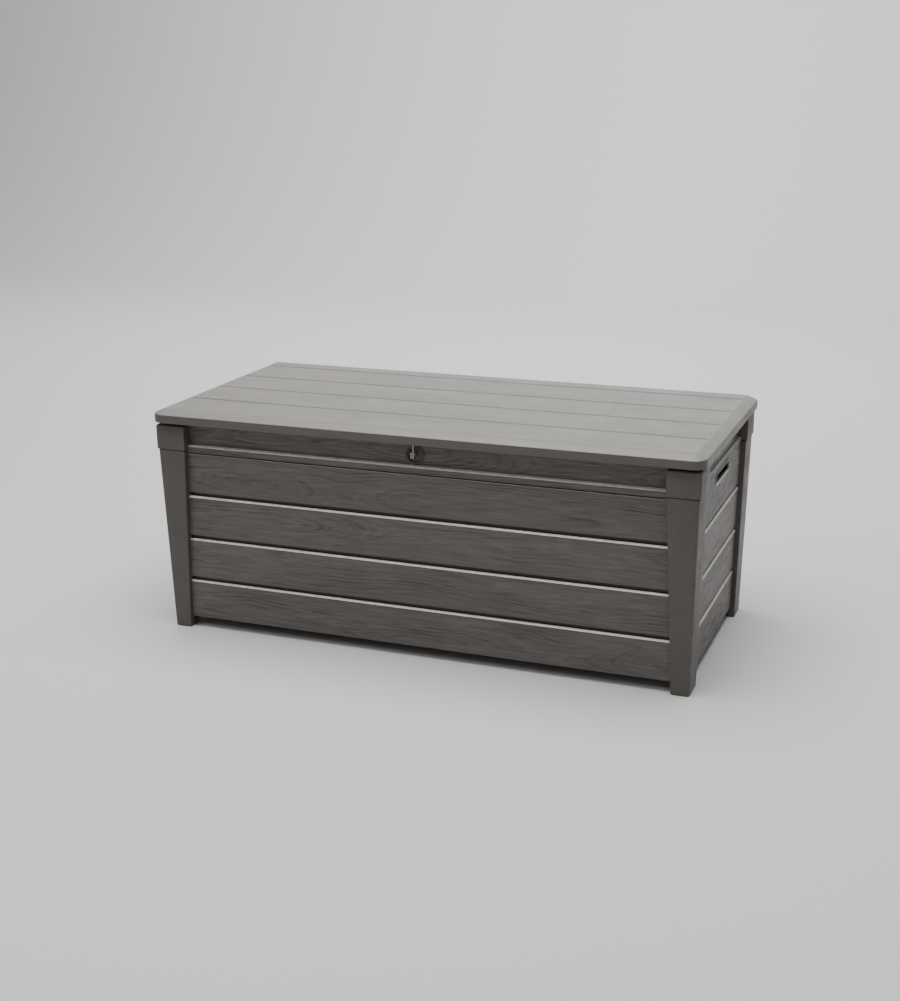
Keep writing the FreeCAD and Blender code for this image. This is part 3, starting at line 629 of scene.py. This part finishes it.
def pattern(tree, scale, detail=4.0, roughness=0.55, distortion=0.0, stretch=(1, 1, 1)):
    """Noise over the object's own coordinates."""
    where = tree.nodes.new("ShaderNodeTexCoord")
    mapping = tree.nodes.new("ShaderNodeMapping")
    mapping.inputs["Scale"].default_value = stretch
    tree.links.new(where.outputs["Object"], mapping.inputs["Vector"])
    texture = tree.nodes.new("ShaderNodeTexNoise")
    for key, value in (("Scale", scale), ("Detail", detail), ("Roughness", roughness),
                       ("Distortion", distortion)):
        texture.inputs[key].default_value = value
    tree.links.new(mapping.outputs["Vector"], texture.inputs["Vector"])
    return texture.outputs["Fac"]


def ranged(tree, value, low, high, to_low, to_high):
    node = tree.nodes.new("ShaderNodeMapRange")
    for key, number in (("From Min", low), ("From Max", high), ("To Min", to_low), ("To Max", to_high)):
        node.inputs[key].default_value = number
    tree.links.new(value, node.inputs["Value"])
    return node.outputs["Result"]


def combined(tree, operation, a, b):
    node = tree.nodes.new("ShaderNodeMath")
    node.operation = operation
    for socket, value in zip(node.inputs, (a, b)):
        if isinstance(value, (int, float)):
            socket.default_value = value
        else:
            tree.links.new(value, socket)
    return node.outputs["Value"]


def blended(tree, share, low, high):
    """Colour between two, each a colour or another blend."""
    node = tree.nodes.new("ShaderNodeMix")
    node.data_type = "RGBA"
    tree.links.new(share, node.inputs["Factor"])
    for key, value in (("A", low), ("B", high)):
        socket = next(s for s in node.inputs if s.name == key and s.type == "RGBA")
        if isinstance(value, tuple):
            socket.default_value = (*value, 1)
        else:
            tree.links.new(value, socket)
    return next(s for s in node.outputs if s.type == "RGBA")


def layer(tree, name):
    node = tree.nodes.new("ShaderNodeAttribute")
    node.attribute_name = name
    return node.outputs["Fac"]


def bumped(tree, shader, height, distance, strength=1.0):
    node = tree.nodes.new("ShaderNodeBump")
    node.inputs["Strength"].default_value = strength
    node.inputs["Distance"].default_value = distance
    tree.links.new(height, node.inputs["Height"])
    tree.links.new(node.outputs["Normal"], shader.inputs["Normal"])


def tinted(color, factor):
    return tuple(c * factor for c in color)


def wood_resin(name, color, along):
    """Moulded wood-look resin: darker valleys and lighter ridges (grain tone with painted shade and
    highlight), painted highlight on what faces up.
    """
    stretch = (0.06, 1, 1) if along == "x" else (1, 0.06, 1)
    stretch_soft = (0.25, 1, 1) if along == "x" else (1, 0.25, 1)
    material, tree, shader = new_material(name, color, 0.5)
    mottle = ranged(tree, pattern(tree, 14.0, 5.0, 0.6, 0.4, stretch_soft), 0.3, 0.7, 0.0, 1.0)
    streak = ranged(tree, pattern(tree, 260.0, 3.0, 0.6, 0.0, stretch), 0.25, 0.75, 0.0, 0.5)
    ridge = layer(tree, "grain")
    base = blended(tree, mottle, tinted(color, 0.92), tinted(color, 1.08))
    base = blended(tree, streak, base, tinted(color, 1.30))
    # grain tone, partly painted light: valleys darkened as painted relief shade, ridges lightened as painted
    # highlight
    base = blended(tree, ranged(tree, ridge, 0.0, 0.55, 0.90, 0.0), base, tinted(color, 0.36))
    base = blended(tree, ranged(tree, ridge, 0.58, 1.0, 0.0, 0.65), base, tinted(color, 1.85))
    shade = ranged(tree, layer(tree, "shade"), 0.0, 1.0, 0.0, 0.9)
    base = blended(tree, shade, base, tinted(color, 0.16))
    # painted highlight on what faces up, in place of the sky's sheen on the bevels and ledges
    upward_highlight = combined(tree, "MULTIPLY", ranged(tree, layer(tree, "ledge"), 0.25, 0.68, 0.0, 1.0),
                    ranged(tree, pattern(tree, 45.0, 4.0, 0.6), 0.3, 0.7, 0.66, 0.98))
    base = blended(tree, upward_highlight, base, UPWARD_HIGHLIGHT)
    tree.links.new(base, shader.inputs["Base Color"])
    rough = ranged(tree, combined(tree, "ADD", ridge, pattern(tree, 40.0)), 0.4, 1.6, 0.62, 0.42)
    rubbed = combined(tree, "MULTIPLY", layer(tree, "ledge"), 0.20)
    tree.links.new(combined(tree, "SUBTRACT", rough, rubbed), shader.inputs["Roughness"])
    fine = combined(tree, "ADD", pattern(tree, 900.0, 2.0, 0.5, 0.0, stretch),
                    combined(tree, "MULTIPLY", pattern(tree, 1500.0, 2.0), 0.4))
    bumped(tree, shader, fine, 0.00025, 0.6)
    return material


def smooth_resin(name, color, rough=0.5, wear=1.3):
    """Spark-textured satin resin with cloudy colour and light scuffs."""
    material, tree, shader = new_material(name, color, rough)
    cloud = ranged(tree, pattern(tree, 6.0, 5.0, 0.6), 0.3, 0.7, 0.0, 1.0)
    base = blended(tree, cloud, tinted(color, 0.88), tinted(color, 1.10))
    scuff = ranged(tree, pattern(tree, 38.0, 6.0, 0.75, 1.2), 0.58, 0.72, 0.0, 0.5)
    base = blended(tree, scuff, base, tinted(color, wear))
    speck = ranged(tree, pattern(tree, 420.0, 2.0), 0.35, 0.65, 0.0, 0.25)
    base = blended(tree, speck, base, tinted(color, 0.7))
    tree.links.new(base, shader.inputs["Base Color"])
    gloss = ranged(tree, pattern(tree, 22.0, 4.0), 0.3, 0.7, rough - 0.07, rough + 0.08)
    tree.links.new(gloss, shader.inputs["Roughness"])
    bumped(tree, shader, pattern(tree, 1400.0, 3.0, 0.6), 0.00012, 0.7)
    return material


def lid_resin(name, color):
    """The lid's top: chalked a little by weather, with water marks and faint grain; slope and top painted
    lighter than the rim as a painted sheen of the sky.
    """
    material, tree, shader = new_material(name, color, 0.42)
    ridge = layer(tree, "grain")
    chalk = ranged(tree, pattern(tree, 3.2, 6.0, 0.62, 0.6, (0.35, 1, 1)), 0.3, 0.7, 0.0, 0.6)
    streak = ranged(tree, pattern(tree, 150.0, 4.0, 0.6, 0.3, (0.07, 1, 1)), 0.3, 0.7, 0.0, 0.5)
    base = blended(tree, chalk, tinted(color, 0.95), tinted(color, 1.10))
    base = blended(tree, streak, base, tinted(color, 1.22))
    base = blended(tree, ranged(tree, ridge, 0.0, 0.5, 0.55, 0.0), base, tinted(color, 0.62))
    spots = ranged(tree, pattern(tree, 55.0, 4.0, 0.7, 0.8), 0.62, 0.74, 0.0, 0.35)
    base = blended(tree, spots, base, tinted(color, 1.5))
    # painted sheen of the sky: the slope and top painted lighter than the rim
    painted_sky_sheen = blended(tree, ranged(tree, ridge, 0.1, 0.9, 0.0, 1.0),
                        (0.184, 0.172, 0.157), (0.290, 0.275, 0.254))
    base = blended(tree, ranged(tree, layer(tree, "ledge"), 0.0, 1.0, 0.0, 0.68), base, painted_sky_sheen)
    shade = ranged(tree, layer(tree, "shade"), 0.25, 1.0, 0.0, 0.85)
    base = blended(tree, shade, base, tinted(color, 0.35))
    tree.links.new(base, shader.inputs["Base Color"])
    gloss = ranged(tree, pattern(tree, 12.0, 5.0, 0.65), 0.3, 0.7, 0.36, 0.50)
    tree.links.new(gloss, shader.inputs["Roughness"])
    fine = combined(tree, "ADD", pattern(tree, 700.0, 2.0, 0.5, 0.0, (0.08, 1, 1)),
                    pattern(tree, 1300.0, 2.0))
    bumped(tree, shader, fine, 0.00014, 0.5)
    return material


def plain_metal(name, color, rough, metallic=1.0, scratch=0.08):
    """Metal with brushed or plated unevenness in its gloss."""
    material, tree, shader = new_material(name, color, rough, metallic)
    cloud = ranged(tree, pattern(tree, 30.0, 5.0, 0.65), 0.3, 0.7, 0.0, 1.0)
    tree.links.new(blended(tree, cloud, tinted(color, 0.82), color), shader.inputs["Base Color"])
    lines = pattern(tree, 500.0, 3.0, 0.6, 0.0, (0.1, 1, 1))
    gloss = ranged(tree, lines, 0.3, 0.7, rough - scratch, rough + scratch)
    tree.links.new(gloss, shader.inputs["Roughness"])
    bumped(tree, shader, lines, 0.00004, 0.4)
    return material


def finishes():
    body = (0.076, 0.065, 0.058)
    return {
        "resin_wood": wood_resin("resin_wood", body, "x"),
        "resin_wood_side": wood_resin("resin_wood_side", body, "y"),
        "resin_smooth": smooth_resin("resin_smooth", (0.073, 0.0625, 0.056)),
        "resin_lid": lid_resin("resin_lid", (0.080, 0.073, 0.068)),
        "resin_inner": smooth_resin("resin_inner", (0.070, 0.063, 0.057), 0.52),
        "resin_lock": smooth_resin("resin_lock", (0.040, 0.036, 0.033), 0.42),
        "zinc_steel": plain_metal("zinc_steel", (0.40, 0.40, 0.385), 0.40),
        "strut_black": plain_metal("strut_black", (0.020, 0.020, 0.021), 0.38, 0.0),
        "strut_plastic": smooth_resin("strut_plastic", (0.030, 0.030, 0.031), 0.48),
        "rod_chrome": plain_metal("rod_chrome", (0.78, 0.78, 0.78), 0.16, 1.0, 0.04),
        "rubber": smooth_resin("rubber", (0.030, 0.030, 0.030), 0.72),
    }


def finish_cad_nodes(materials):
    """Gives every CAD node that stays its slot's finish and small rounded edges."""
    slots = {s["node"]: s["material_slot"] for s in frame["record"]["subparts"]}
    for name, node in NODES.items():
        node.data.materials.clear()
        node.data.materials.append(materials[slots[name]])
        if not node.hide_render:
            soft_edges(node, 0.0005, 2)


# ---- stage ----
def stage():
    """Plain pale floor that curves up into a plain pale wall far behind."""
    half, back, bend = 9.0, 5.0, 2.5
    line = [(-9.0, 0.0), (back, 0.0)]
    line += [(back + bend * math.sin(t), bend * (1 - math.cos(t)))
             for t in np.linspace(0.1, math.pi / 2, 16)]
    line.append((back + bend, 6.0))
    verts = [(x, y, z) for y, z in line for x in (-half, half)]
    faces = [(2 * i, 2 * i + 1, 2 * i + 3, 2 * i + 2) for i in range(len(line) - 1)]
    mesh = bpy.data.meshes.new("floor")
    mesh.from_pydata(verts, [], faces)
    mesh.polygons.foreach_set("use_smooth", [True] * len(faces))
    floor = bpy.data.objects.new("floor", mesh)
    bpy.context.scene.collection.objects.link(floor)
    mesh.materials.append(new_material("floor", (0.60, 0.60, 0.595), 0.85, 0.0, 0.2)[0])


def softbox(name, place, target, size, power):
    light = bpy.data.lights.new(name, "AREA")
    light.shape = "RECTANGLE"
    light.size, light.size_y = size
    light.energy = power
    lamp = bpy.data.objects.new(name, light)
    lamp.location = place
    lamp.rotation_euler = (Vector(target) - Vector(place)).to_track_quat("-Z", "Y").to_euler()
    bpy.context.scene.collection.objects.link(lamp)


def lights():
    world = bpy.data.worlds.new("studio")
    world.use_nodes = True
    world.node_tree.nodes["Background"].inputs["Color"].default_value = (0.95, 0.97, 1.0, 1)
    world.node_tree.nodes["Background"].inputs["Strength"].default_value = 0.30
    bpy.context.scene.world = world
    softbox("overhead", (0.0, -0.2, 4.4), (0, 0, 0.4), (4.5, 3.8), 330)
    softbox("behind", (-1.0, 3.2, 4.8), (-1.5, 7.0, 1.6), (6.0, 2.0), 420)
    softbox("front", (-1.6, -4.2, 4.6), (0, -0.3, 0.4), (3.0, 2.0), 60)


def camera():
    """The view of the box from in front and to its right, a little above it."""
    data = bpy.data.cameras.new("camera")
    data.lens = 53.97
    data.sensor_width = 36.0
    made = bpy.data.objects.new("camera", data)
    made.location = (1.36494, -3.59796, 1.48028)
    made.rotation_euler = tuple(math.radians(a) for a in (73.383, 0.483, 21.023))
    bpy.context.scene.collection.objects.link(made)
    bpy.context.scene.camera = made


# ---- assembly ----
def walls(materials):
    wood, side_wood = materials["resin_wood"], materials["resin_wood_side"]
    edge = FRONT["ribbed"] - RIB_HALF
    long_ribs = [edge * (2 * i / LONG_BAYS - 1) for i in range(LONG_BAYS + 1)]
    wall_skin("front_wall", FRONT, 0, LONG_STEP, SEED, FRONT_KNOTS, wood, "front_panel", LOCK_HOLE)
    wall_skin("back_wall", FRONT, 2, LONG_STEP, SEED + 7, FRONT_KNOTS[::2], wood, "back_panel")
    wall_ribs("front_wall_ribs", FRONT, 0, long_ribs, wood, "front_panel")
    wall_ribs("back_wall_ribs", FRONT, 2, long_ribs, wood, "back_panel")
    for side, quarter, seed in (("right", 1, SEED + 13), ("left", 3, SEED + 17)):
        node = side + "_panel"
        wall_skin(side + "_wall", SIDE, quarter, END_STEP, seed, SIDE_KNOTS, side_wood, node, window=True)
        wall_ribs(side + "_wall_ribs", SIDE, quarter, SIDE_RIBS, side_wood, node)
        handle_frame(side, side_wood)


def build():
    materials = finishes()
    walls(materials)
    for row in ("front", "back"):
        for side in ("left", "right"):
            post(row + "_" + side, materials["resin_smooth"])
            cap(row + "_" + side, materials["resin_smooth"])
    lid_shell(materials["resin_lid"])
    finish_cad_nodes(materials)


camera()
build()
stage()
lights()
